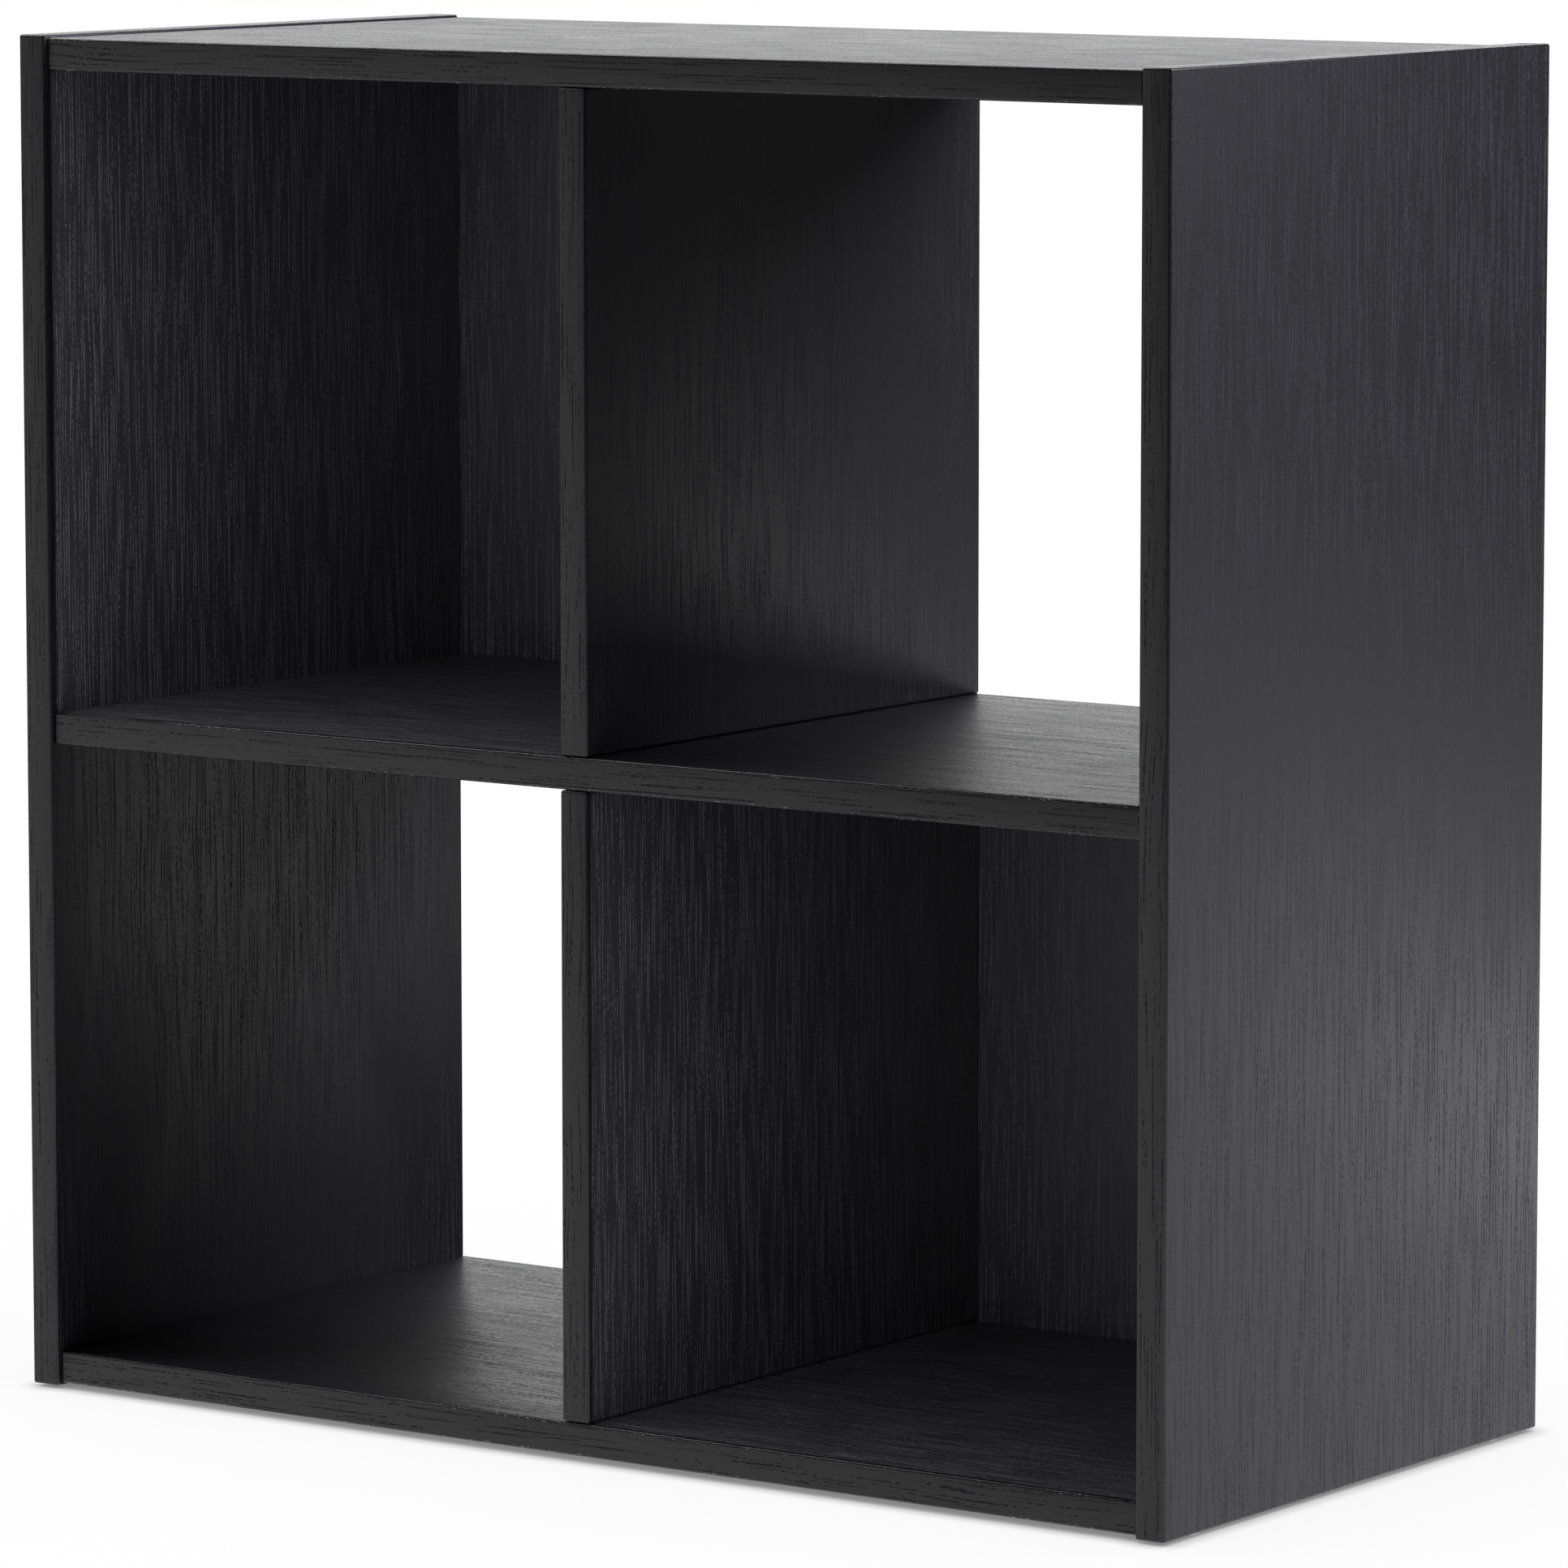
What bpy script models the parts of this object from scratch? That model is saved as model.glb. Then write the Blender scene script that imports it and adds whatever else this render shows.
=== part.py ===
"""Cube storage unit: two side panels, three horizontal panels, two dividers and two thin backs.

Units are metres, +Z is up, the open front faces -Y and the origin is on the floor under the
unit's centre. The boards are 14.5 mm particleboard. Hidden cam locks on the undersides of the
horizontal panels pull their ends against the sides, wooden dowels locate every joint, and each
thin back is held by four screws in the rear edges of the boards around it.
"""

import math

import bmesh
import bpy
from mathutils import Matrix, Vector

# Driving dimensions
WIDTH = 0.610                  # over the outer faces of the two sides
SIDE_HEIGHT = 0.610            # length of a side panel
SIDE_DEPTH = 0.303             # front edge to rear edge of a side panel
BOARD = 0.0145                 # thickness of every board
FRONT_SETBACK = 0.002          # shelves and dividers start this far behind the sides' fronts
END_REVEAL = 0.0013            # the sides stand this far past the top and bottom panels
SHELF_TOP = 0.3069             # middle shelf's upper face, above the sides' lower ends
ARRIS_RADIUS = 0.0012          # rounding of every long edge
GAP = 0.0003                   # clearance between neighbouring pieces

BACK_THICKNESS = 0.003
BACK_INSET = 0.003             # back panel's edge to the outer face of the unit
BACK_PAST_DIVIDER = 0.004      # a back panel's edge, past the divider's middle
BACK_ARRIS = 0.0004

# Fittings
CAM_FROM_END = 0.034           # end of a board to the middle of its cam lock
CAM_RADIUS = 0.0073
CAM_HEIGHT = 0.0115
CAM_RECESS = 0.0002            # the cam's face lies this far inside the board's underside
CAM_CAVITY = (0.0064, 0.0072, 0.0072)
CAM_CAVITY_SHIFT = 0.0004      # the cavity's middle, past the cam's middle
CAM_NECK_SLOT = 0.0038
CAM_CROSS = (0.0062, 0.0015, 0.0023)
BOLT_THREAD_LENGTH = 0.011
BOLT_THREAD_RADIUS = 0.0022
BOLT_TIP_RADIUS = 0.0010
BOLT_TIP_LENGTH = 0.0015
BOLT_COLLAR_RADIUS = 0.0035
BOLT_COLLAR_END = 0.0020       # collar's far side, from the side panel's face
BOLT_COLLAR_SLOPE = 0.0005
BOLT_SHANK_RADIUS = 0.0028
BOLT_NECK_RADIUS = 0.0015
BOLT_HEAD_RADIUS = 0.0030
BOLT_HEAD_SPAN = (-0.0025, 0.0015)   # head's start and end, from the cam lock's middle
BOLT_HEAD_CHAMFER = 0.0006
DOWEL_RADIUS = 0.0037
DOWEL_IN_FACE = 0.010          # how far a dowel goes into the face of a board
DOWEL_IN_END = 0.019           # how far a dowel goes into the end of a board
DOWEL_CHAMFER = 0.0009
SCREW_SHANK_RADIUS = 0.0013
SCREW_LENGTH = 0.016
SCREW_TIP_LENGTH = 0.003
SCREW_HEAD_RADIUS = 0.0030
SCREW_HEAD_HEIGHT = 0.0016
SCREW_CROWN = ((0.55, 1.0), (0.88, 0.72), (1.0, 0.30), (1.0, 0.0))   # parts of radius and height
SCREW_CROSS = (0.0034, 0.0007, 0.0010)
SCREW_FROM_EDGE = 0.030        # back panel's top or bottom edge to its screws
GLIDE_RADIUS = 0.0045
GLIDE_HEIGHT = 0.0012
GLIDE_PIN_RADIUS = 0.0011
GLIDE_PIN_LENGTH = 0.010
GLIDE_PIN_POINT = 0.001
GLIDE_EDGE = 0.0004
GLIDE_FROM_EDGE = 0.030
FITTING_FROM_EDGE = 0.045      # front and rear cam bolts, from a board's front and rear edges
OVERSHOOT = 0.001              # a cutter starts this far outside the face that it cuts

ROUND_SIDES = 12
CAM_SIDES = 20
SHARP_ANGLE = math.radians(35)
SCREW_MERGE = 0.00001

# Places that follow from the dimensions
TOTAL_DEPTH = SIDE_DEPTH + GAP + BACK_THICKNESS + GAP + SCREW_HEAD_HEIGHT
FRONT = -TOTAL_DEPTH / 2
REAR = FRONT + SIDE_DEPTH
BOARD_FRONT = FRONT + FRONT_SETBACK
SIDE_BOTTOM = GLIDE_HEIGHT + GAP
SIDE_TOP = SIDE_BOTTOM + SIDE_HEIGHT
INNER_HALF = WIDTH / 2 - BOARD
UNDERSIDES = {
    "top": SIDE_TOP - END_REVEAL - BOARD,
    "shelf": SIDE_BOTTOM + SHELF_TOP - BOARD,
    "bottom": SIDE_BOTTOM + END_REVEAL,
}
FITTING_ROWS = {"front": BOARD_FRONT + FITTING_FROM_EDGE, "rear": REAR - FITTING_FROM_EDGE}
MIDDLE_ROW = (BOARD_FRONT + REAR) / 2
HANDS = {"left": -1, "right": 1}

X_AXIS = Vector((1, 0, 0))
Y_AXIS = Vector((0, 1, 0))
Z_AXIS = Vector((0, 0, 1))


def clear_scene():
    """Remove every object, so the script starts from nothing."""
    for obj in list(bpy.data.objects):
        bpy.data.objects.remove(obj, do_unlink=True)


def new_collection(name):
    """Add a collection to the scene."""
    collection = bpy.data.collections.new(name)
    bpy.context.scene.collection.children.link(collection)
    return collection


def new_material(name, colour, roughness, metallic):
    """Make a plain Principled material."""
    material = bpy.data.materials.new(name)
    material.use_nodes = True
    shader = material.node_tree.nodes["Principled BSDF"]
    shader.inputs["Base Color"].default_value = (*colour, 1.0)
    shader.inputs["Roughness"].default_value = roughness
    shader.inputs["Metallic"].default_value = metallic
    return material


clear_scene()
UNIT = new_collection("cube_storage_unit")
CUTTERS = new_collection("cutters")
BLACK_LAMINATE = new_material("black_laminate", (0.022, 0.022, 0.024), 0.5, 0.0)
BACK_LAMINATE = new_material("back_laminate", (0.020, 0.020, 0.022), 0.6, 0.0)
ZINC = new_material("zinc_cam", (0.50, 0.50, 0.51), 0.45, 1.0)
STEEL = new_material("plated_steel", (0.60, 0.60, 0.61), 0.3, 1.0)
BEECH = new_material("beech_dowel", (0.62, 0.45, 0.27), 0.7, 0.0)
NYLON = new_material("nylon_glide", (0.75, 0.75, 0.74), 0.5, 0.0)


def add_object(name, mesh, material):
    """Put a mesh in the unit's collection as a named piece."""
    obj = bpy.data.objects.new(name, mesh)
    if material.name not in mesh.materials:
        mesh.materials.append(material)
    UNIT.objects.link(obj)
    return obj


def box_mesh(name, size):
    """Make a box mesh of the given size about its own middle."""
    mesh = bpy.data.meshes.new(name)
    shape = bmesh.new()
    bmesh.ops.create_cube(shape, size=1.0, matrix=Matrix.Diagonal((*size, 1.0)))
    shape.to_mesh(mesh)
    shape.free()
    return mesh


def board(name, low, high, material, rounding):
    """Make a board between two corners, with rounded edges."""
    low, high = Vector(low), Vector(high)
    obj = add_object(name, box_mesh(name, high - low), material)
    obj.location = (low + high) / 2
    bevel = obj.modifiers.new("rounded_edges", "BEVEL")
    bevel.width = rounding
    bevel.segments = 2
    return obj


def add_cylinder(shape, start, direction, radius, length, sides):
    """Add a closed cylinder that runs from start along direction."""
    turn = Z_AXIS.rotation_difference(direction).to_matrix().to_4x4()
    place = Matrix.Translation(start + direction * length / 2) @ turn
    bmesh.ops.create_cone(
        shape, cap_ends=True, segments=sides, radius1=radius, radius2=radius, depth=length, matrix=place
    )


def add_cutter(target, cutter):
    """Cut a piece with a cutter object, which stays hidden in its own collection."""
    CUTTERS.objects.link(cutter)
    cutter.hide_render = True
    cutter.display_type = "WIRE"
    cut = target.modifiers.new(cutter.name, "BOOLEAN")
    cut.operation = "DIFFERENCE"
    cut.solver = "EXACT"
    cut.object = cutter


def drill(target, purpose, holes, sides=ROUND_SIDES):
    """Drill holes, each given as (mouth, direction into the board, radius, depth)."""
    shape = bmesh.new()
    for mouth, direction, radius, depth in holes:
        start = Vector(mouth) - direction * OVERSHOOT
        add_cylinder(shape, start, direction, radius, depth + OVERSHOOT, sides)
    name = f"{target.name}_{purpose}"
    mesh = bpy.data.meshes.new(name)
    shape.to_mesh(mesh)
    shape.free()
    add_cutter(target, bpy.data.objects.new(name, mesh))


def cut_box(target, purpose, size, middle):
    """Cut a box-shaped recess out of a piece."""
    name = f"{target.name}_{purpose}"
    cutter = bpy.data.objects.new(name, box_mesh(name, size))
    cutter.location = middle
    add_cutter(target, cutter)


def turned_piece(name, profile, material, sides=ROUND_SIDES):
    """Turn a profile of (radius, height) points, listed top to bottom, about Z."""
    mesh = bpy.data.meshes.new(name)
    shape = bmesh.new()
    points = [shape.verts.new((radius, 0, height)) for radius, height in profile]
    for first, second in zip(points, points[1:]):
        shape.edges.new((first, second))
    shape.to_mesh(mesh)
    shape.free()
    obj = add_object(name, mesh, material)
    screw = obj.modifiers.new("turn", "SCREW")
    screw.axis = "Z"
    screw.steps = sides
    screw.render_steps = sides
    screw.use_merge_vertices = True
    screw.merge_threshold = SCREW_MERGE
    return obj


def settle(obj):
    """Return a piece's evaluated mesh, ready to be shared, and remove the piece."""
    bpy.context.view_layer.update()
    evaluated = obj.evaluated_get(bpy.context.evaluated_depsgraph_get())
    mesh = bpy.data.meshes.new_from_object(evaluated)
    bpy.data.objects.remove(obj, do_unlink=True)
    mesh.set_sharp_from_angle(angle=SHARP_ANGLE)
    return mesh


def cam_bolt_mesh():
    """Cam bolt: +Z points from the side panel's face into the shelf, thread below zero."""
    shank_end = CAM_FROM_END - CAM_RADIUS - GAP
    head_start, head_end = (CAM_FROM_END + offset for offset in BOLT_HEAD_SPAN)
    profile = [
        (0, head_end),
        (BOLT_HEAD_RADIUS - BOLT_HEAD_CHAMFER, head_end),
        (BOLT_HEAD_RADIUS, head_end - BOLT_HEAD_CHAMFER),
        (BOLT_HEAD_RADIUS, head_start + BOLT_HEAD_CHAMFER),
        (BOLT_NECK_RADIUS, head_start),
        (BOLT_NECK_RADIUS, shank_end),
        (BOLT_SHANK_RADIUS, shank_end),
        (BOLT_SHANK_RADIUS, BOLT_COLLAR_END + BOLT_COLLAR_SLOPE),
        (BOLT_COLLAR_RADIUS, BOLT_COLLAR_END),
        (BOLT_COLLAR_RADIUS, GAP),
        (BOLT_THREAD_RADIUS, GAP),
        (BOLT_THREAD_RADIUS, BOLT_TIP_LENGTH - BOLT_THREAD_LENGTH),
        (BOLT_TIP_RADIUS, -BOLT_THREAD_LENGTH),
        (0, -BOLT_THREAD_LENGTH),
    ]
    return settle(turned_piece("cam_bolt", profile, STEEL))


def cam_lock_mesh():
    """Cam lock: its middle at the origin, screwdriver face down, bolt entering from +X."""
    mesh = bpy.data.meshes.new("cam_lock")
    shape = bmesh.new()
    add_cylinder(shape, Vector((0, 0, -CAM_HEIGHT / 2)), Z_AXIS, CAM_RADIUS, CAM_HEIGHT, CAM_SIDES)
    shape.to_mesh(mesh)
    shape.free()
    cam = add_object("cam_lock", mesh, ZINC)
    axis_height = BOARD / 2 - CAM_RECESS - CAM_HEIGHT / 2
    cut_box(cam, "cavity", CAM_CAVITY, (-CAM_CAVITY_SHIFT, 0, axis_height))
    slot_length = CAM_RADIUS + OVERSHOOT
    slot_size = (slot_length, CAM_NECK_SLOT, CAM_NECK_SLOT)
    cut_box(cam, "neck_slot", slot_size, (slot_length / 2, 0, axis_height))
    length, width, depth = CAM_CROSS
    cross_middle = (0, 0, -CAM_HEIGHT / 2 + depth / 2 - OVERSHOOT / 2)
    cut_box(cam, "cross_x", (length, width, depth + OVERSHOOT), cross_middle)
    cut_box(cam, "cross_y", (width, length, depth + OVERSHOOT), cross_middle)
    return settle(cam)


def dowel_mesh(name, length):
    """Fluteless dowel along Z, about its middle, with chamfered ends."""
    radius, half = DOWEL_RADIUS, length / 2
    profile = [
        (0, half),
        (radius - DOWEL_CHAMFER, half),
        (radius, half - DOWEL_CHAMFER),
        (radius, DOWEL_CHAMFER - half),
        (radius - DOWEL_CHAMFER, -half),
        (0, -half),
    ]
    return settle(turned_piece(name, profile, BEECH))


def back_screw_mesh():
    """Pan-head screw: the shank runs down from zero and the head stands on it."""
    head = SCREW_HEAD_HEIGHT
    profile = [(0, head)]
    profile += [(SCREW_HEAD_RADIUS * out, head * up) for out, up in SCREW_CROWN]
    profile += [
        (SCREW_SHANK_RADIUS, 0),
        (SCREW_SHANK_RADIUS, SCREW_TIP_LENGTH - SCREW_LENGTH),
        (0, -SCREW_LENGTH),
    ]
    screw = turned_piece("back_screw", profile, STEEL)
    length, width, depth = SCREW_CROSS
    middle = (0, 0, head - depth / 2 + OVERSHOOT / 2)
    cut_box(screw, "cross_x", (length, width, depth + OVERSHOOT), middle)
    cut_box(screw, "cross_y", (width, length, depth + OVERSHOOT), middle)
    return settle(screw)


def glide_mesh():
    """Nail-on nylon glide: the pad stands on zero and the pin points up."""
    pin_top = GLIDE_HEIGHT + GLIDE_PIN_LENGTH
    profile = [
        (0, pin_top),
        (GLIDE_PIN_RADIUS, pin_top - GLIDE_PIN_POINT),
        (GLIDE_PIN_RADIUS, GLIDE_HEIGHT),
        (GLIDE_RADIUS - GLIDE_EDGE, GLIDE_HEIGHT),
        (GLIDE_RADIUS, GLIDE_HEIGHT - GLIDE_EDGE),
        (GLIDE_RADIUS, GLIDE_EDGE),
        (GLIDE_RADIUS - GLIDE_EDGE, 0),
        (0, 0),
    ]
    return settle(turned_piece("glide", profile, NYLON))


def make_side_panel(hand):
    """A side panel, drilled for its bolts, dowels, glides and back screws."""
    sign = HANDS[hand]
    inner, outer = sorted((sign * INNER_HALF, sign * WIDTH / 2))
    name = f"{hand}_side_panel"
    low, high = (inner, FRONT, SIDE_BOTTOM), (outer, REAR, SIDE_TOP)
    side = board(name, low, high, BLACK_LAMINATE, ARRIS_RADIUS)
    face = sign * INNER_HALF
    holes = []
    for underside in UNDERSIDES.values():
        height = underside + BOARD / 2
        for row in FITTING_ROWS.values():
            mouth = (face, row, height)
            holes.append((mouth, sign * X_AXIS, BOLT_THREAD_RADIUS + GAP, BOLT_THREAD_LENGTH + GAP))
        mouth = (face, MIDDLE_ROW, height)
        holes.append((mouth, sign * X_AXIS, DOWEL_RADIUS + GAP, DOWEL_IN_FACE + GAP))
    middle = sign * (WIDTH / 2 - BOARD / 2)
    for row in (FRONT + GLIDE_FROM_EDGE, REAR - GLIDE_FROM_EDGE):
        depth = GLIDE_PIN_LENGTH
        holes.append(((middle, row, SIDE_BOTTOM), Z_AXIS, GLIDE_PIN_RADIUS + GAP, depth))
    drill(side, "holes", holes)
    drill(side, "screw_holes", edge_screw_holes(middle))
    return side


def edge_screw_holes(column):
    """Holes for the back screws that lie in one column, in the rear edge of a board."""
    depth = SCREW_LENGTH - BACK_THICKNESS
    return [
        ((x, REAR, z), -Y_AXIS, SCREW_SHANK_RADIUS + GAP, depth)
        for x, z in back_screw_places().values()
        if abs(x - column) < BOARD / 4
    ]


def make_horizontal(name, level):
    """A horizontal panel with cam pockets in its underside and bored ends."""
    underside = UNDERSIDES[level]
    half = INNER_HALF - GAP
    low, high = (-half, BOARD_FRONT, underside), (half, REAR, underside + BOARD)
    panel = board(name, low, high, BLACK_LAMINATE, ARRIS_RADIUS)
    height = underside + BOARD / 2
    pocket_depth = CAM_RECESS + CAM_HEIGHT + GAP
    pockets = []
    bores = []
    for sign in HANDS.values():
        for row in FITTING_ROWS.values():
            pocket = (sign * (INNER_HALF - CAM_FROM_END), row, underside)
            pockets.append((pocket, Z_AXIS, CAM_RADIUS + GAP, pocket_depth))
            mouth = (sign * half, row, height)
            bore_depth = CAM_FROM_END - CAM_RADIUS / 2
            bores.append((mouth, -sign * X_AXIS, BOLT_COLLAR_RADIUS + GAP, bore_depth))
        mouth = (sign * half, MIDDLE_ROW, height)
        bores.append((mouth, -sign * X_AXIS, DOWEL_RADIUS + GAP, DOWEL_IN_END + GAP))
    drill(panel, "cam_pockets", pockets, CAM_SIDES)
    drill(panel, "end_bores", bores)
    face_holes = {
        "top": (underside, Z_AXIS, DOWEL_IN_FACE + GAP),
        "shelf": (underside, Z_AXIS, BOARD + OVERSHOOT),
        "bottom": (underside + BOARD, -Z_AXIS, DOWEL_IN_FACE + GAP),
    }
    mouth_height, direction, depth = face_holes[level]
    holes = [
        ((0, row, mouth_height), direction, DOWEL_RADIUS + GAP, depth) for row in FITTING_ROWS.values()
    ]
    drill(panel, "divider_dowel_holes", holes)
    return panel


def make_divider(name, floor_level, ceiling_level):
    """A divider between two horizontal panels, with dowel holes in both ends."""
    bottom = UNDERSIDES[floor_level] + BOARD + GAP
    top = UNDERSIDES[ceiling_level] - GAP
    low, high = (-BOARD / 2, BOARD_FRONT, bottom), (BOARD / 2, REAR, top)
    divider = board(name, low, high, BLACK_LAMINATE, ARRIS_RADIUS)
    radius, depth = DOWEL_RADIUS + GAP, DOWEL_IN_END + GAP
    holes = []
    for row in FITTING_ROWS.values():
        holes.append(((0, row, bottom), Z_AXIS, radius, depth))
        holes.append(((0, row, top), -Z_AXIS, radius, depth))
    drill(divider, "dowel_holes", holes)
    rear_holes = [hole for hole in edge_screw_holes(0) if bottom < hole[0][2] < top]
    drill(divider, "screw_holes", rear_holes)
    return divider


def back_panel_extents():
    """Low and high corners, (x, z), of the two back panels."""
    shelf_middle = UNDERSIDES["shelf"] + BOARD / 2
    outer = WIDTH / 2 - BACK_INSET
    return {
        "upper_left": (
            (-outer, shelf_middle + GAP),
            (BACK_PAST_DIVIDER, UNDERSIDES["top"] + BOARD - BACK_INSET),
        ),
        "lower_right": (
            (-BACK_PAST_DIVIDER, UNDERSIDES["bottom"] + BACK_INSET),
            (outer, shelf_middle - GAP),
        ),
    }


def back_screw_places():
    """Where each back screw goes: name to (x, z)."""
    places = {}
    outer = WIDTH / 2 - BOARD / 2
    for cell, (low, high) in back_panel_extents().items():
        sign = -1 if low[0] < -outer else 1
        for column, x in (("outer", sign * outer), ("inner", 0.0)):
            for end, z in (("low", low[1] + SCREW_FROM_EDGE), ("high", high[1] - SCREW_FROM_EDGE)):
                places[f"{cell}_{column}_{end}"] = (x, z)
    return places


def make_back_panel(cell):
    """A thin back, screwed on behind one cell."""
    (x_low, z_low), (x_high, z_high) = back_panel_extents()[cell]
    face = REAR + GAP
    low, high = (x_low, face, z_low), (x_high, face + BACK_THICKNESS, z_high)
    back = board(f"{cell}_back_panel", low, high, BACK_LAMINATE, BACK_ARRIS)
    holes = [
        ((x, face, z), Y_AXIS, SCREW_SHANK_RADIUS + GAP, BACK_THICKNESS + OVERSHOOT)
        for name, (x, z) in back_screw_places().items()
        if name.startswith(cell)
    ]
    drill(back, "screw_holes", holes)
    return back


def place_cam_fittings():
    """One bolt and one lock at each end of each horizontal panel, front and rear."""
    bolt, lock = cam_bolt_mesh(), cam_lock_mesh()
    for level, underside in UNDERSIDES.items():
        for hand, sign in HANDS.items():
            for row_name, row in FITTING_ROWS.items():
                place = f"{level}_{hand}_{row_name}"
                bolt_object = add_object(f"cam_bolt_{place}", bolt, STEEL)
                bolt_object.location = (sign * INNER_HALF, row, underside + BOARD / 2)
                bolt_object.rotation_euler = (0, -sign * math.pi / 2, 0)
                lock_object = add_object(f"cam_lock_{place}", lock, ZINC)
                lock_height = underside + CAM_RECESS + CAM_HEIGHT / 2
                lock_object.location = (sign * (INNER_HALF - CAM_FROM_END), row, lock_height)
                lock_object.rotation_euler = (0, 0, 0 if sign > 0 else math.pi)


def place_dowels():
    """One dowel in each end joint, and two at each end of each divider."""
    end_dowel = dowel_mesh("end_dowel", DOWEL_IN_FACE + DOWEL_IN_END)
    through_dowel = dowel_mesh("through_dowel", DOWEL_IN_END * 2 + BOARD)
    reach = (DOWEL_IN_END - DOWEL_IN_FACE) / 2
    for level, underside in UNDERSIDES.items():
        for hand, sign in HANDS.items():
            dowel = add_object(f"end_dowel_{level}_{hand}", end_dowel, BEECH)
            dowel.location = (sign * (INNER_HALF - reach), MIDDLE_ROW, underside + BOARD / 2)
            dowel.rotation_euler = (0, math.pi / 2, 0)
    heights = {
        "top": (end_dowel, UNDERSIDES["top"] - reach),
        "shelf": (through_dowel, UNDERSIDES["shelf"] + BOARD / 2),
        "bottom": (end_dowel, UNDERSIDES["bottom"] + BOARD + reach),
    }
    for level, (mesh, height) in heights.items():
        for row_name, row in FITTING_ROWS.items():
            dowel = add_object(f"divider_dowel_{level}_{row_name}", mesh, BEECH)
            dowel.location = (0, row, height)


def place_back_screws():
    """Four screws through each back panel, heads to the rear."""
    screw = back_screw_mesh()
    for name, (x, z) in back_screw_places().items():
        screw_object = add_object(f"back_screw_{name}", screw, STEEL)
        screw_object.location = (x, REAR + GAP + BACK_THICKNESS + GAP, z)
        screw_object.rotation_euler = (-math.pi / 2, 0, 0)


def place_glides():
    """Two glides under each side panel."""
    glide = glide_mesh()
    rows = {"front": FRONT + GLIDE_FROM_EDGE, "rear": REAR - GLIDE_FROM_EDGE}
    for hand, sign in HANDS.items():
        for row_name, row in rows.items():
            glide_object = add_object(f"glide_{hand}_{row_name}", glide, NYLON)
            glide_object.location = (sign * (WIDTH / 2 - BOARD / 2), row, 0)


make_side_panel("left")
make_side_panel("right")
make_horizontal("top_panel", "top")
make_horizontal("middle_shelf", "shelf")
make_horizontal("bottom_panel", "bottom")
make_divider("upper_divider", "shelf", "top")
make_divider("lower_divider", "bottom", "shelf")
make_back_panel("upper_left")
make_back_panel("lower_right")
place_cam_fittings()
place_dowels()
place_back_screws()
place_glides()
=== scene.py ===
"""Looks for the cube storage unit: black embossed wood-grain laminate on boards with softly
rounded arrises, thin wood-grain backs, plated fittings and a white studio floor."""

import math

import bmesh
import bpy
from mathutils import Matrix, Vector


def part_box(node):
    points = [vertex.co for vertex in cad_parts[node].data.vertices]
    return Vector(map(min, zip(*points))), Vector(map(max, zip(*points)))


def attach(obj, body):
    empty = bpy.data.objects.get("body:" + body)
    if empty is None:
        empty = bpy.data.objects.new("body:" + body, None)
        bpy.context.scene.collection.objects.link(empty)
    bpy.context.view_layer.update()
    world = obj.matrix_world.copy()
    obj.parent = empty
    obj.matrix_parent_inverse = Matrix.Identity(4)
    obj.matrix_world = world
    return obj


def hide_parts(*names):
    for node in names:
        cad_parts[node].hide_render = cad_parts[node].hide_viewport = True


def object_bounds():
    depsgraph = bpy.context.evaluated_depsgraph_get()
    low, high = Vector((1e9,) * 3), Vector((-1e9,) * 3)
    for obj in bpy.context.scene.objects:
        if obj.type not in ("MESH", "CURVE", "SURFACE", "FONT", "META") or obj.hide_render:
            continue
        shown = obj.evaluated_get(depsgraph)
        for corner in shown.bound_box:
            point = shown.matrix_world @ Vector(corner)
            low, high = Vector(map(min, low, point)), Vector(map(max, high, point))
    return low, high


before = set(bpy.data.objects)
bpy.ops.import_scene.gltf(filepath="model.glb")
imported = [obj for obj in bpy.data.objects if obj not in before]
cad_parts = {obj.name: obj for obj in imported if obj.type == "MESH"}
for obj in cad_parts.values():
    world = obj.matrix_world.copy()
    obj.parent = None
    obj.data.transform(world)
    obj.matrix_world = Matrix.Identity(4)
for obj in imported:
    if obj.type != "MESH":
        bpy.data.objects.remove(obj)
CAD_LOW, CAD_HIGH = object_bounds()
MIDDLE = (CAD_LOW + CAD_HIGH) / 2

MM = 0.001
X, Y, Z = 0, 1, 2
UP = Vector((0, 0, 1))
INWARDS = Vector((0, 1, 0))         # from the open front into a cell
WHITE = (1.0, 1.0, 1.0, 1.0)
BLACK = (0.0, 0.0, 0.0, 1.0)
NOISE_MEAN = 0.5
NOISE_SPREAD = (0.3, 0.7)           # most noise lies between these

SIDES = ("left_side_panel", "right_side_panel")
HORIZONTALS = ("top_panel", "middle_shelf", "bottom_panel")
DIVIDERS = ("upper_divider", "lower_divider")
BACKS = ("upper_left_back_panel", "lower_right_back_panel")


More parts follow.
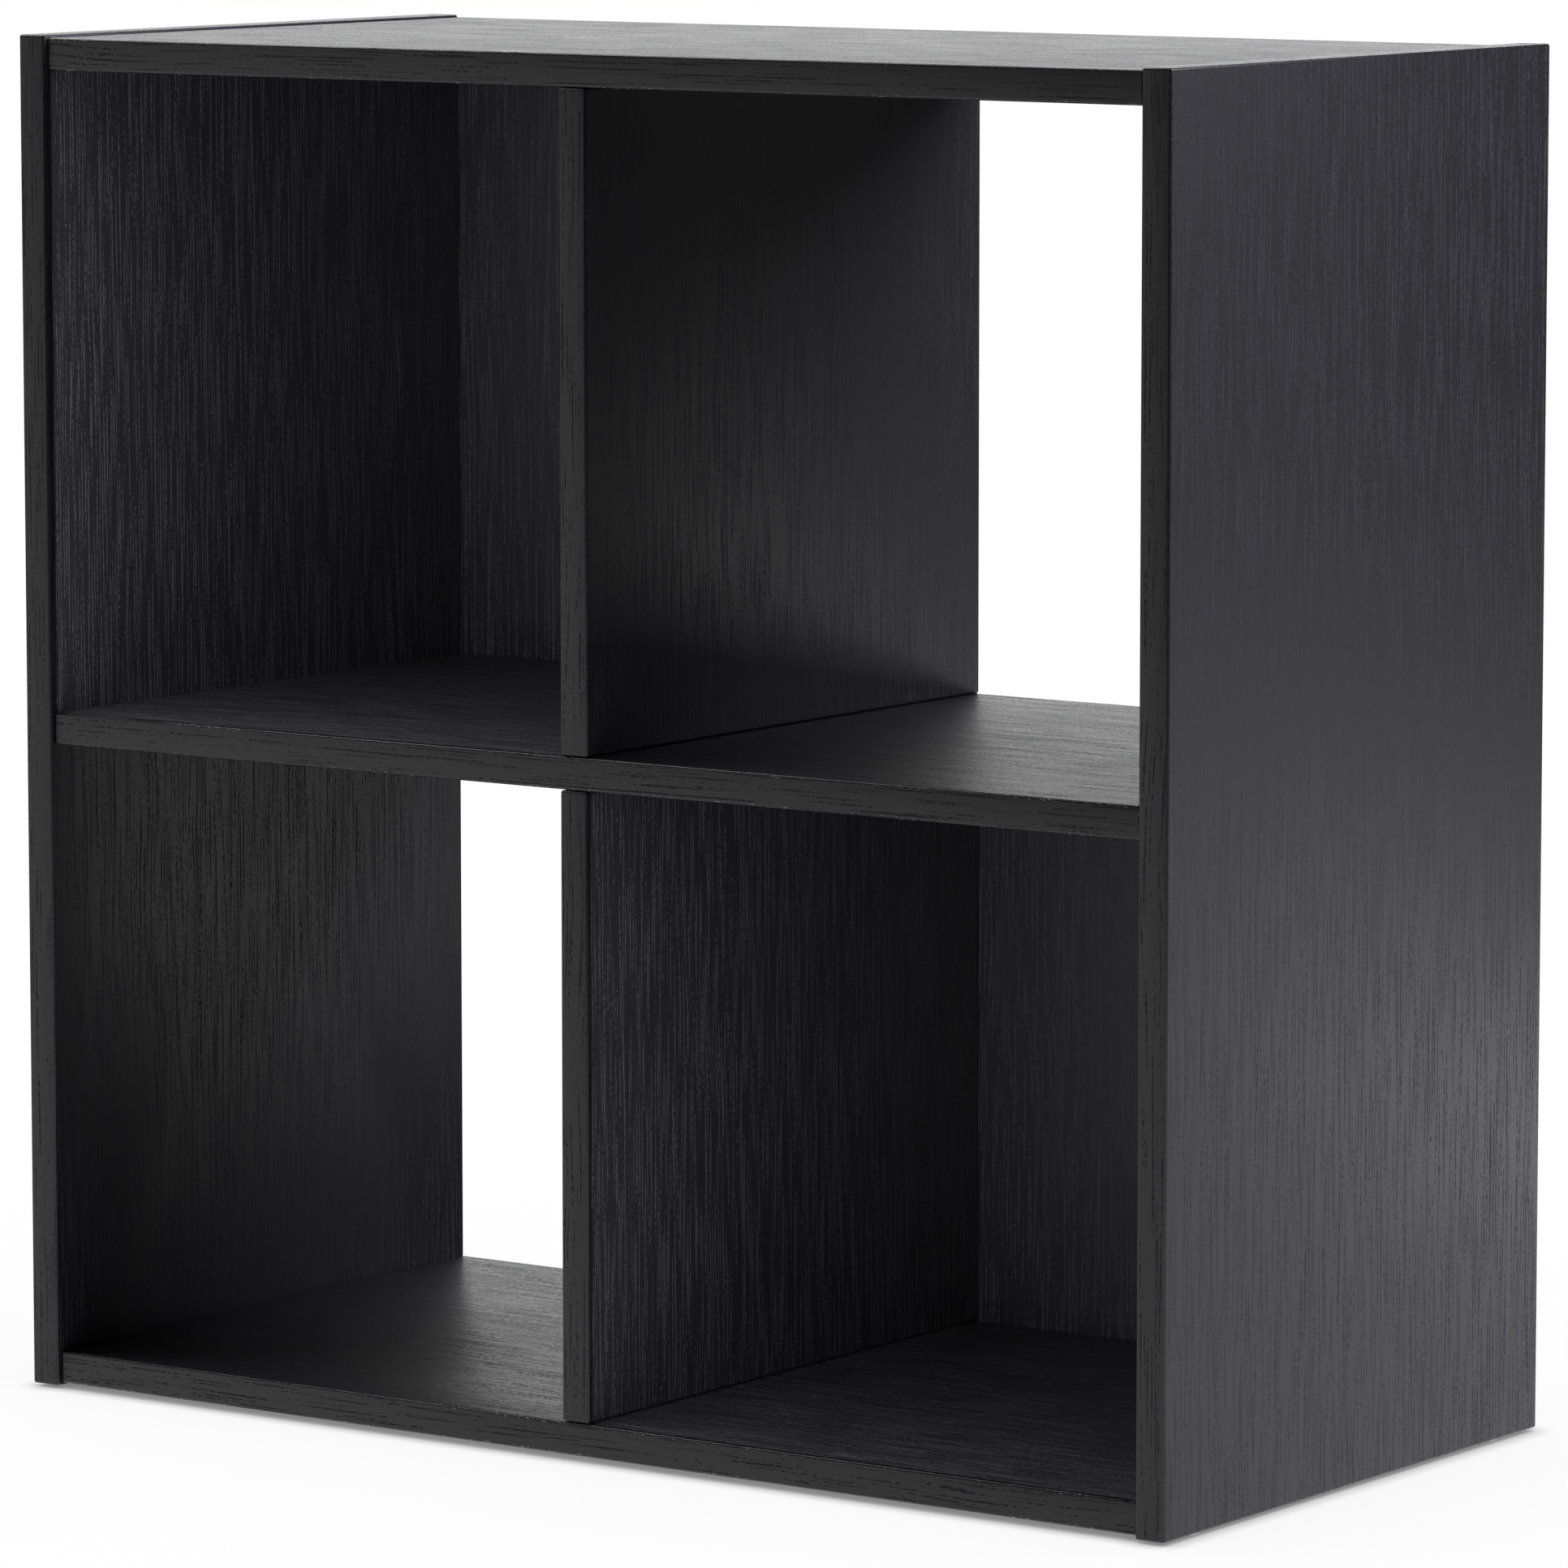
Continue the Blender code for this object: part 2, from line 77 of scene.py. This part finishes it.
# ---------------------------------------------------------------- node helpers
class Graph:
    """A small helper that adds shader nodes and links them."""

    def __init__(self, tree):
        self.tree = tree

    def node(self, kind, **settings):
        """Add a node and set its properties."""
        made = self.tree.nodes.new(kind)
        for name, value in settings.items():
            setattr(made, name, value)
        return made

    def feed(self, socket, value):
        """Link a socket to another socket, or set it to a value."""
        if isinstance(value, bpy.types.NodeSocket):
            self.tree.links.new(value, socket)
        else:
            socket.default_value = value

    def math(self, operation, *values, clamp=False):
        """One step of arithmetic."""
        made = self.node("ShaderNodeMath", operation=operation, use_clamp=clamp)
        for socket, value in zip(made.inputs, values):
            self.feed(socket, value)
        return made.outputs[0]

    def place(self):
        """The point being shaded, in the object's own metres."""
        return self.node("ShaderNodeTexCoord").outputs["Object"]

    def noise(self, vector, scale=1.0, detail=2.0):
        """Perlin noise, mostly between 0.3 and 0.7."""
        made = self.node("ShaderNodeTexNoise")
        for name, value in {"Vector": vector, "Scale": scale, "Detail": detail}.items():
            self.feed(made.inputs[name], value)
        return made.outputs["Fac"]

    def ramp(self, value, low, high, to_low=0.0, to_high=1.0):
        """Map low..high smoothly to to_low..to_high."""
        made = self.node("ShaderNodeMapRange", interpolation_type="SMOOTHSTEP")
        for socket, item in zip(made.inputs, (value, low, high, to_low, to_high)):
            self.feed(socket, item)
        return made.outputs[0]

    def mix_colour(self, factor, first, second):
        """Blend two colours, each a socket or a tuple."""
        made = self.node("ShaderNodeMix", data_type="RGBA")
        self.feed(made.inputs["Factor"], factor)
        for socket, colour in (("A", first), ("B", second)):
            self.feed(made.inputs[socket], (*colour, 1.0) if isinstance(colour, tuple) else colour)
        return made.outputs["Result"]

    def bump(self, height, strength, distance):
        """A relief for a shader's normal."""
        made = self.node("ShaderNodeBump")
        self.feed(made.inputs["Strength"], strength)
        self.feed(made.inputs["Distance"], distance)
        self.feed(made.inputs["Height"], height)
        return made.outputs["Normal"]


def new_material(name):
    """A material with only its Principled shader, and a helper to build on it."""
    material = bpy.data.materials.new(name)
    material.use_nodes = True
    tree = material.node_tree
    return material, Graph(tree), tree.nodes["Principled BSDF"].inputs


# ---------------------------------------------------------------- wood-grain laminate
# Lengths here are in millimetres. A field is noise, given by the width of its features across
# the grain, their reach along it, and its detail; its level runs from 0 to 1.
GROUND_COLOUR = (0.0104, 0.0102, 0.0122)
PORE_COLOUR = (0.040, 0.0395, 0.047)
EDGE_PORE_COLOUR = (0.015, 0.015, 0.018)
# The next colour is a painted highlight: pale glints on the arrises of the horizontal boards.
GLINT_COLOUR = (0.38, 0.38, 0.39)
GROUND_CLOUDING = (0.88, 1.15)      # the darkest and the lightest ground, as parts of its colour
CLOUD_FIELD = (80.0, 200.0)
SEED_STEPS = (389.0, 57.0, 131.0)   # how far one seed moves along, into and across the grain

FIGURE_FIELD = (70.0, 180.0, 0.0)   # where the grain is figured
FIGURE_LEVELS = (0.52, 0.68)
SWING_FIELD = (22.0, 75.0, 0.0)
SWINGS = (0.6, 7.0)                 # how far the rows swing in plain and in figured places
RAGGED_FIELD = (0.9, 1.5)
RAGGEDNESS = 0.6

CELL_WIDTH = 1.1                    # long cells, each with one pore down its middle
CELL_LENGTH = 60.0
CELL_SLIDE = 3.3                    # moves the cells across as the depth into the board grows
CELL_MIDDLE_LEVEL = 0.5             # of the pattern, on a cell's middle line
CELL_WEIGHT = 0.5                   # how fast the level falls away from it
ROW_FIELD = (0.6, 260.0)            # rows that run nearly the whole length of a board
ROW_WEIGHT = 0.5
COMB_PITCH = 1.9                    # evens out the rows' spacing
COMB_WEIGHT = 0.09
DRIFT_FIELD = (7.0, 160.0)
DRIFT = 5.0
BREAK_FIELD = (0.8, 2.0)            # breaks in the pores
BREAK_WEIGHT = 0.5
PORE_LEVELS = (0.39, 0.408)

# Painted highlights: pale flecks on the arrises of the horizontal boards stand in for glints of
# light.
GLINT_FIELD = (0.4, 2.4)
GLINT_LEVELS = (0.735, 0.755)
GLINT_PATCH_FIELD = (40.0, 60.0)           # where the painted glints on an arris gather
GLINT_PATCH_LEVELS = (0.45, 0.65)
GLINT_PATCH_WEIGHT = 0.08

GRIT_FIELD = (1.1, 1.6)
GRIT_SHEEN = 0.04
GRIT_RELIEF = 0.15                  # as a part of a pore's depth
SATIN = 0.40                        # roughness of the ground
ARRIS_SATIN = 0.30
PORE_ROUGHNESS = 0.45               # added in a pore
SPECULAR = 0.5
DULLING = 0.42                      # specular level lost in a pore
EDGE_DULLING = 0.22
EDGE_COVER = -0.065                 # leaves fewer pores on edges than on faces
EDGE_RELIEF = 0.6
BACK_RELIEF = 0.6
RELIEF_STRENGTH = 0.9
RELIEF_DEPTH = 0.12 * MM

# Each material's seeds start here, so no two boards or edges share a stretch of grain.
FACE_SEED, BACK_SEED, BAND_SEED, END_SEED, ARRIS_SEED = 1.0, 11.0, 20.0, 40.0, 60.0


class Grain:
    """Where a point lies along, into and across the grain of one board, and fields laid on it."""

    def __init__(self, graph, along, across, seed):
        in_mm = graph.node("ShaderNodeVectorMath", operation="SCALE")
        graph.feed(in_mm.inputs[0], graph.place())
        graph.feed(in_mm.inputs["Scale"], 1 / MM)
        split = graph.node("ShaderNodeSeparateXYZ")
        graph.feed(split.inputs[0], in_mm.outputs[0])
        axes = (along, X + Y + Z - along - across, across)
        self.graph = graph
        self.along, self.into, self.across = (
            graph.math("ADD", split.outputs[axis], seed * step)
            for axis, step in zip(axes, SEED_STEPS)
        )

    def point(self, *parts):
        """A vector for a texture, from (place, size of a feature) pairs."""
        made = self.graph.node("ShaderNodeCombineXYZ")
        for socket, (place, size) in zip(made.inputs, parts):
            self.graph.feed(socket, self.graph.math("DIVIDE", place, size))
        return made.outputs[0]

    def field(self, width, reach, detail=1.0, across=None):
        """Noise whose features are width across and reach along the grain."""
        across = self.across if across is None else across
        point = self.point((across, width), (self.into, width), (self.along, reach))
        return self.graph.noise(point, detail=detail)

    def sway(self, field, amount, across=None):
        """A field that swings about zero."""
        centred = self.graph.math("SUBTRACT", self.field(*field, across=across), NOISE_MEAN)
        return self.graph.math("MULTIPLY", centred, amount)


def pore_pattern(g, grain, cover):
    """1 in a pore and 0 on the ground between: long pores in rows that swing and drift."""
    figured = g.ramp(grain.field(*FIGURE_FIELD), *FIGURE_LEVELS, *SWINGS)
    moved = g.math("ADD", grain.sway(SWING_FIELD, figured), grain.sway(RAGGED_FIELD, RAGGEDNESS))
    across = g.math("ADD", grain.across, moved)

    cell = g.node("ShaderNodeTexVoronoi", feature="F1", voronoi_dimensions="2D")
    slid = g.math("ADD", across, g.math("MULTIPLY", grain.into, CELL_SLIDE))
    g.feed(cell.inputs["Vector"], grain.point((slid, CELL_WIDTH), (grain.along, CELL_LENGTH)))
    g.feed(cell.inputs["Scale"], 1.0)
    combed = g.math("ADD", across, grain.sway(DRIFT_FIELD, DRIFT))
    comb = g.math("SINE", g.math("MULTIPLY", combed, math.tau / COMB_PITCH))

    off_middle = g.math("MULTIPLY", cell.outputs["Distance"], CELL_WEIGHT)
    level = g.math("SUBTRACT", CELL_MIDDLE_LEVEL, off_middle)
    for part in (
        grain.sway(ROW_FIELD, ROW_WEIGHT, across),
        g.math("MULTIPLY", comb, COMB_WEIGHT),
        grain.sway(BREAK_FIELD, BREAK_WEIGHT, across),
        cover,
    ):
        level = g.math("ADD", level, part)
    return g.ramp(level, *PORE_LEVELS)


def laminate(
    name, along, across, seed, relief=1.0, cover=0.0, pore_colour=PORE_COLOUR, dulling=DULLING,
    glinting=False, satin=SATIN,
):
    """Black laminate embossed with open wood pores.

    The pattern fills space, so it runs on round a rounded arris. The pores run along one axis.
    With glinting, pale flecks on the arris are painted highlights.
    """
    material, g, shader = new_material(name)
    grain = Grain(g, along, across, seed)
    pores = pore_pattern(g, grain, cover)

    # Colour: a slightly cloudy ground, paler pores, and on some arrises pale flecks that are
    # painted highlights, the glints of jagged edges catching the light.
    darkest, lightest = (tuple(c * part for c in GROUND_COLOUR) for part in GROUND_CLOUDING)
    ground = g.mix_colour(grain.field(*CLOUD_FIELD), darkest, lightest)
    colour = g.mix_colour(pores, ground, pore_colour)
    if glinting:
        glint_patches = g.ramp(grain.field(*GLINT_PATCH_FIELD), *GLINT_PATCH_LEVELS)
        flecks = g.math("ADD", grain.field(*GLINT_FIELD), g.math("MULTIPLY", glint_patches, GLINT_PATCH_WEIGHT))
        colour = g.mix_colour(g.ramp(flecks, *GLINT_LEVELS), colour, GLINT_COLOUR)
    g.feed(shader["Base Color"], colour)

    # Sheen: the raised ground is satin, the pores are dull.
    grit = grain.field(*GRIT_FIELD)
    sheen = g.ramp(grit, *NOISE_SPREAD, satin - GRIT_SHEEN, satin + GRIT_SHEEN)
    roughness = g.math("ADD", sheen, g.math("MULTIPLY", pores, PORE_ROUGHNESS), clamp=True)
    g.feed(shader["Roughness"], roughness)
    specular = g.math("SUBTRACT", SPECULAR, g.math("MULTIPLY", pores, dulling))
    g.feed(shader["Specular IOR Level"], specular)

    # Relief: the pores are pressed in.
    height = g.math("SUBTRACT", g.math("MULTIPLY", grit, GRIT_RELIEF), pores)
    g.feed(shader["Normal"], g.bump(height, RELIEF_STRENGTH * relief, RELIEF_DEPTH))
    return material


# ---------------------------------------------------------------- fittings' materials
METAL_DARKENING = 0.78              # the darkest mottling, as a part of the metal's colour
MOTTLE_DETAIL = 4.0
MOTTLE_LEVELS = (0.25, 0.75)
MOTTLE_POLISH, MOTTLE_DULLNESS = 0.08, 0.10
METAL_RELIEF = 0.3
METAL_RELIEF_DEPTH = 0.05 * MM

BEECH_COLOUR = (0.62, 0.45, 0.27)
BEECH_FLECK_COLOUR = (0.42, 0.27, 0.14)
BEECH_FLECKS = 900.0                # flecks in a metre
BEECH_FLECK_DETAIL = 3.0
BEECH_FLECK_LEVELS = (0.52, 0.68)
BEECH_ROUGHNESS = (0.62, 0.8)

NYLON_COLOURS = (0.66, 0.66, 0.65), (0.76, 0.76, 0.75)
NYLON_GRAINS = 2500.0               # grains in a metre
NYLON_ROUGHNESS = (0.42, 0.58)
NYLON_GLOW = 0.35                   # stands in for the light that a white floor throws up


def metal(name, colour, roughness, grain):
    """Cast or plated metal with faint mottling, of a grain's size, in its colour and roughness."""
    material, g, shader = new_material(name)
    mottle = g.noise(g.place(), scale=1 / grain, detail=MOTTLE_DETAIL)
    dark = tuple(c * METAL_DARKENING for c in colour)
    g.feed(shader["Base Color"], g.mix_colour(mottle, dark, colour))
    low, high = roughness - MOTTLE_POLISH, roughness + MOTTLE_DULLNESS
    g.feed(shader["Roughness"], g.ramp(mottle, *MOTTLE_LEVELS, low, high))
    g.feed(shader["Metallic"], 1.0)
    g.feed(shader["Normal"], g.bump(mottle, METAL_RELIEF, METAL_RELIEF_DEPTH))
    return material


def beech():
    """Bare beech dowel: pale wood with short dark flecks."""
    material, g, shader = new_material("beech")
    noise = g.noise(g.place(), scale=BEECH_FLECKS, detail=BEECH_FLECK_DETAIL)
    fleck = g.ramp(noise, *BEECH_FLECK_LEVELS)
    g.feed(shader["Base Color"], g.mix_colour(fleck, BEECH_COLOUR, BEECH_FLECK_COLOUR))
    g.feed(shader["Roughness"], g.ramp(noise, *NOISE_SPREAD, *BEECH_ROUGHNESS))
    return material


def nylon():
    """Pale moulded nylon with a fine grain."""
    material, g, shader = new_material("nylon")
    noise = g.noise(g.place(), scale=NYLON_GRAINS)
    g.feed(shader["Base Color"], g.mix_colour(noise, *NYLON_COLOURS))
    g.feed(shader["Roughness"], g.ramp(noise, *NOISE_SPREAD, *NYLON_ROUGHNESS))
    g.feed(shader["Emission Color"], WHITE)
    g.feed(shader["Emission Strength"], NYLON_GLOW)
    return material


# ---------------------------------------------------------------- boards
GAP = 0.3 * MM                      # clearance that the CAD keeps between pieces
ARRIS_RADIUS, ARRIS_SEGMENTS = 1.2 * MM, 5
BACK_ARRIS_RADIUS, BACK_ARRIS_SEGMENTS = 0.4 * MM, 3
SMOOTH_ANGLE = math.radians(40)
BORE_SIDES = 32
OVERSHOOT = 1.0 * MM                # how far a pocket's cutter stands out of the board
THREAD_BORE = 2.5 * MM              # radius of a cam bolt's hole in a side panel
BAND, END, ARRIS = 1, 2, 3          # a board's materials, after the one on its faces
SCREW_BORE = 1.6 * MM
GLIDE_BORE = 1.4 * MM

# The axis that each kind of fitting lies along.
FITTINGS = {
    "cam_lock": Z,
    "cam_bolt": X,
    "end_dowel": X,
    "divider_dowel": Z,
    "back_screw": Y,
    "glide": Z,
}


def box_shape(low, high):
    """A bmesh box between two corners."""
    shape = bmesh.new()
    place = Matrix.Translation((low + high) / 2) @ Matrix.Diagonal((*(high - low), 1.0))
    bmesh.ops.create_cube(shape, size=1.0, matrix=place)
    return shape


def object_from(name, shape):
    """Turn a bmesh into a linked object."""
    mesh = bpy.data.meshes.new(name)
    shape.to_mesh(mesh)
    shape.free()
    obj = bpy.data.objects.new(name, mesh)
    bpy.context.scene.collection.objects.link(obj)
    return obj


def bore(low, high, axis, radius):
    """A bmesh cylinder along an axis, from low to high on it, centred on the box across it."""
    direction = Vector([1.0 if i == axis else 0.0 for i in (X, Y, Z)])
    turn = UP.rotation_difference(direction).to_matrix().to_4x4()
    shape = bmesh.new()
    bmesh.ops.create_cone(
        shape, cap_ends=True, segments=BORE_SIDES, radius1=radius, radius2=radius,
        depth=high[axis] - low[axis], matrix=Matrix.Translation((low + high) / 2) @ turn,
    )
    return shape


def touches(low, high, other_low, other_high):
    """True where two boxes overlap."""
    return all(low[i] < other_high[i] and high[i] > other_low[i] for i in (X, Y, Z))


def bore_radius(kind, node, low, high):
    """The radius of the hole that a board has for a fitting with this box."""
    if kind == "cam_bolt" and node in SIDES:
        return THREAD_BORE
    if kind == "back_screw":
        return SCREW_BORE
    if kind == "glide":
        return GLIDE_BORE
    return max(high[i] - low[i] for i in (X, Y, Z) if i != FITTINGS[kind]) / 2 + GAP


def holes_for(node):
    """The board's bores, as pairs: true for a cam lock's pocket, and a bmesh cylinder."""
    board_low, board_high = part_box(node)
    holes = []
    for name in sorted(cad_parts):
        kind = next((k for k in FITTINGS if name.startswith(k)), None)
        if kind is None:
            continue
        low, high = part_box(name)
        if not touches(low, high, board_low, board_high):
            continue
        axis = FITTINGS[kind]
        radius = bore_radius(kind, node, low, high)
        low, high = low.copy(), high.copy()
        low[axis] -= GAP
        high[axis] += GAP
        is_pocket = kind == "cam_lock"
        if is_pocket:
            low[axis] = board_low[axis] - OVERSHOOT
        holes.append((is_pocket, bore(low, high, axis, radius)))
    return holes


def join_shapes(shapes):
    """Several bmeshes as one."""
    joined = bmesh.new()
    for shape in shapes:
        mesh = bpy.data.meshes.new("part")
        shape.to_mesh(mesh)
        shape.free()
        joined.from_mesh(mesh)
        bpy.data.meshes.remove(mesh)
    return joined


def apply_modifiers(obj):
    """Bake an object's modifiers into its mesh."""
    bpy.context.view_layer.update()
    evaluated = obj.evaluated_get(bpy.context.evaluated_depsgraph_get())
    mesh = bpy.data.meshes.new_from_object(evaluated)
    old = obj.data
    obj.modifiers.clear()
    obj.data = mesh
    mesh.name = obj.name
    bpy.data.meshes.remove(old)


def make_board(node, radius, segments):
    """A board in its CAD place, with rounded arrises and the bores for its fittings."""
    low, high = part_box(node)
    obj = object_from(f"{node}_board", box_shape(low, high))
    rounding = obj.modifiers.new("arrises", "BEVEL")
    rounding.width = radius
    rounding.segments = segments
    holes = holes_for(node)
    cutters = []
    for wanted in (True, False):    # pockets are cut before the bores that run into them
        group = [shape for is_pocket, shape in holes if is_pocket is wanted]
        if not group:
            continue
        cutter = object_from(f"{node}_cutter_{len(cutters)}", join_shapes(group))
        cut = obj.modifiers.new("bores", "BOOLEAN")
        cut.operation = "DIFFERENCE"
        cut.solver = "EXACT"
        cut.object = cutter
        cutters.append(cutter)
    apply_modifiers(obj)
    for cutter in cutters:
        bpy.data.objects.remove(cutter)
    obj.data.shade_smooth()
    obj.data.set_sharp_from_angle(angle=SMOOTH_ANGLE)
    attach(obj, "root")
    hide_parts(node)
    return obj


def skin(obj, slot, *materials):
    """Give a piece its materials. The slot argument is not used."""
    obj.data.materials.clear()
    for material in materials:
        obj.data.materials.append(material)


def face_materials(obj, node, reach, end_axis):
    """Pick out a board's edge bands front and rear, its ends and its arrises."""
    low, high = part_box(node)
    for face in obj.data.polygons:
        at = face.center
        outer = [i for i in (X, Y, Z) if min(at[i] - low[i], high[i] - at[i]) < reach]
        if len(outer) > 1:
            face.material_index = ARRIS
        elif outer == [Y]:
            face.material_index = BAND
        elif outer == [end_axis]:
            face.material_index = END


def build_boards():
    """All nine boards, each with its own stretch of grain."""
    upright = [(node, Z, X) for node in SIDES + DIVIDERS]
    level = [(node, X, Z) for node in HORIZONTALS]
    for count, (node, along, thin) in enumerate(upright + level):
        obj = make_board(node, ARRIS_RADIUS, ARRIS_SEGMENTS)
        name = f"laminate_{node}"
        face = laminate(name, along, Y, count + FACE_SEED)
        band = laminate(
            f"{name}_edge", along, thin, count + BAND_SEED, EDGE_RELIEF, EDGE_COVER,
            pore_colour=EDGE_PORE_COLOUR, dulling=EDGE_DULLING,
        )
        end = laminate(f"{name}_end", Y, thin, count + END_SEED, EDGE_RELIEF, EDGE_COVER)
        # The arrises of the horizontal boards get painted highlights.
        arris = laminate(
            f"{name}_arris", along, Y, count + ARRIS_SEED, EDGE_RELIEF, EDGE_COVER,
            glinting=along == X, satin=ARRIS_SATIN,
        )
        skin(obj, "black_laminate", face, band, end, arris)
        face_materials(obj, node, ARRIS_RADIUS, along)
    for count, node in enumerate(BACKS):
        obj = make_board(node, BACK_ARRIS_RADIUS, BACK_ARRIS_SEGMENTS)
        material = laminate(f"laminate_{node}", Z, X, count + BACK_SEED, BACK_RELIEF)
        skin(obj, "back_laminate", material)


def dress_fittings():
    """Give the CAD's own fittings their finishes."""
    wood = beech()
    finishes = {
        "cam_lock": metal("die_cast_zinc", (0.55, 0.55, 0.56), 0.42, 1.2 * MM),
        "cam_bolt": metal("plated_bolt", (0.62, 0.60, 0.52), 0.30, 1.6 * MM),
        "back_screw": metal("plated_screw", (0.10, 0.10, 0.105), 0.42, 1.0 * MM),
        "end_dowel": wood,
        "divider_dowel": wood,
        "glide": nylon(),
    }
    for name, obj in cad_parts.items():
        for kind, material in finishes.items():
            if name.startswith(kind):
                obj.material_slots[0].material = material


# ---------------------------------------------------------------- stage, light and camera
FLOOR_HALF = 60.0
# How far each shade on the floor reaches from the unit, and how dark it gets.
FLOOR_SHADES = ((10 * MM, 0.68), (120 * MM, 0.06), (500 * MM, 0.08))
SHADE_SAMPLES = 8

# Each soft box: azimuth (0 along +X, 90 along +Y) and elevation in degrees, distance, width and
# height, and brightness.
SOFT_BOXES = {
    "right_box": (22, 37, 3.0, (2.5, 1.9), 7.7),
    "left_box": (190, 52, 3.0, (1.3, 1.3), 5.0),
    "back_box": (125, 37, 3.0, (2.5, 1.9), 2.25),
    "back_wall_low": (125, 2.0, 12.0, (10.0, 1.45), 0.9),
    "back_wall_middle": (125, 7.0, 12.0, (10.0, 0.66), 3.1),
    "back_wall_high": (125, 11.05, 12.0, (10.0, 1.1), 1.1),
    "front_wall": (222, 4, 4.0, (4.0, 1.6), 0.68),
}
TINTS = {"right_box": (0.97, 0.955, 1.06)}      # a little cooler than the other lights

# Bright patches of floor: middle, width and depth, brightness.
FLOOR_GLOWS = {
    "glow_right": ((0.95, -0.1), (1.3, 2.4), 0.97),
    "glow_near": ((0.5, 0.95), (0.8, 0.8), 0.85),
    "glow_behind": ((1.45, 1.45), (1.1, 1.1), 1.55),
    "glow_front": ((-1.1, -1.5), (2.8, 2.7), 0.78),
}

# The cells with a back: their back panel, the boards below and above them, and their fill.
CLOSED_CELLS = (
    ("upper_left_back_panel", "middle_shelf", "top_panel", 2.5),
    ("lower_right_back_panel", "bottom_panel", "middle_shelf", 2.0),
)
CELL_FILL_INSET = 4 * MM            # behind the side panels' front edges
CELL_FILL_MARGIN = 1 * MM

WORLD_LIGHT = 0.02
CAMERA_PLACE = (2.2547, -3.1813, 0.7657)
CAMERA_TURN = (90 - 7.081, 0.014, 35.286)
CAMERA_LENS, CAMERA_SENSOR = 203.1, 36.0
CAMERA_CLIP = (0.1, 200.0)


def build_stage():
    """A white floor that runs out to the horizon and is shaded where the unit meets it."""
    shape = bmesh.new()
    bmesh.ops.create_grid(shape, x_segments=1, y_segments=1, size=FLOOR_HALF)
    floor = object_from("floor", shape)
    material, g, shader = new_material("white_floor")
    level = 1.0
    for reach, depth in FLOOR_SHADES:
        near = g.node("ShaderNodeAmbientOcclusion", samples=SHADE_SAMPLES)
        near.inputs["Distance"].default_value = reach
        loss = g.math("MULTIPLY", g.math("SUBTRACT", 1.0, near.outputs["AO"]), depth)
        level = g.math("SUBTRACT", level, loss)
    g.feed(shader["Base Color"], BLACK)
    g.feed(shader["Specular IOR Level"], 0.0)
    g.feed(shader["Emission Color"], WHITE)
    g.feed(shader["Emission Strength"], level)
    floor.data.materials.append(material)
    floor.visible_glossy = False
    floor.visible_diffuse = False


def soft_light(name, place, aim, size, radiance):
    """A rectangular light of an even brightness, facing the point it is aimed at."""
    data = bpy.data.lights.new(name, "AREA")
    data.shape = "RECTANGLE"
    data.size, data.size_y = size
    data.energy = math.pi * size[0] * size[1] * radiance
    light = bpy.data.objects.new(name, data)
    light.location = place
    light.rotation_euler = (Vector(aim) - Vector(place)).to_track_quat("-Z", "Y").to_euler()
    light.visible_camera = False
    bpy.context.scene.collection.objects.link(light)
    return light


def around(azimuth, elevation, distance):
    """A point seen from the unit's middle at an azimuth and elevation in degrees."""
    turn, rise = math.radians(azimuth), math.radians(elevation)
    return MIDDLE + distance * Vector(
        (math.cos(rise) * math.cos(turn), math.cos(rise) * math.sin(turn), math.sin(rise))
    )


def light_cell(back, floor, ceiling, radiance):
    """Soft fill over the whole mouth of a closed cell, shining in."""
    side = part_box("left_side_panel") if "left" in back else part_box("right_side_panel")
    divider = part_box("upper_divider")
    near, far = (side[1].x, divider[0].x) if "left" in back else (divider[1].x, side[0].x)
    mouth = Vector(((near + far) / 2, side[0].y + CELL_FILL_INSET, (floor + ceiling) / 2))
    size = (far - near - 2 * CELL_FILL_MARGIN, ceiling - floor - 2 * CELL_FILL_MARGIN)
    soft_light(f"{back}_fill", mouth, mouth + INWARDS, size, radiance)


def build_lights():
    """Large soft boxes round the unit, the floor's own glow, and the closed cells' fill."""
    for name, (azimuth, elevation, distance, size, radiance) in SOFT_BOXES.items():
        light = soft_light(name, around(azimuth, elevation, distance), MIDDLE, size, radiance)
        light.data.color = TINTS.get(name, (1.0, 1.0, 1.0))
    for name, ((x, y), size, radiance) in FLOOR_GLOWS.items():
        soft_light(name, (x, y, MM), (x, y, 1.0), size, radiance)
    for back, below, above, radiance in CLOSED_CELLS:
        light_cell(back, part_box(below)[1].z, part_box(above)[0].z, radiance)


def build_world():
    """White to look at, and almost dark as a light."""
    world = bpy.data.worlds.new("studio")
    bpy.context.scene.world = world
    world.use_nodes = True
    g = Graph(world.node_tree)
    background = world.node_tree.nodes["Background"].inputs
    seen = g.node("ShaderNodeLightPath").outputs["Is Camera Ray"]
    g.feed(background["Color"], WHITE)
    g.feed(background["Strength"], g.ramp(seen, 0.0, 1.0, WORLD_LIGHT, 1.0))


def build_camera():
    """The camera, in front of the unit and to its right, a little above its top."""
    data = bpy.data.cameras.new("camera")
    data.lens = CAMERA_LENS
    data.sensor_width = CAMERA_SENSOR
    data.clip_start, data.clip_end = CAMERA_CLIP
    camera = bpy.data.objects.new("camera", data)
    camera.location = CAMERA_PLACE
    camera.rotation_euler = [math.radians(angle) for angle in CAMERA_TURN]
    bpy.context.scene.collection.objects.link(camera)
    bpy.context.scene.camera = camera


build_camera()
build_boards()
dress_fittings()
build_stage()
build_lights()
build_world()
bpy.context.scene.view_settings.view_transform = "Standard"
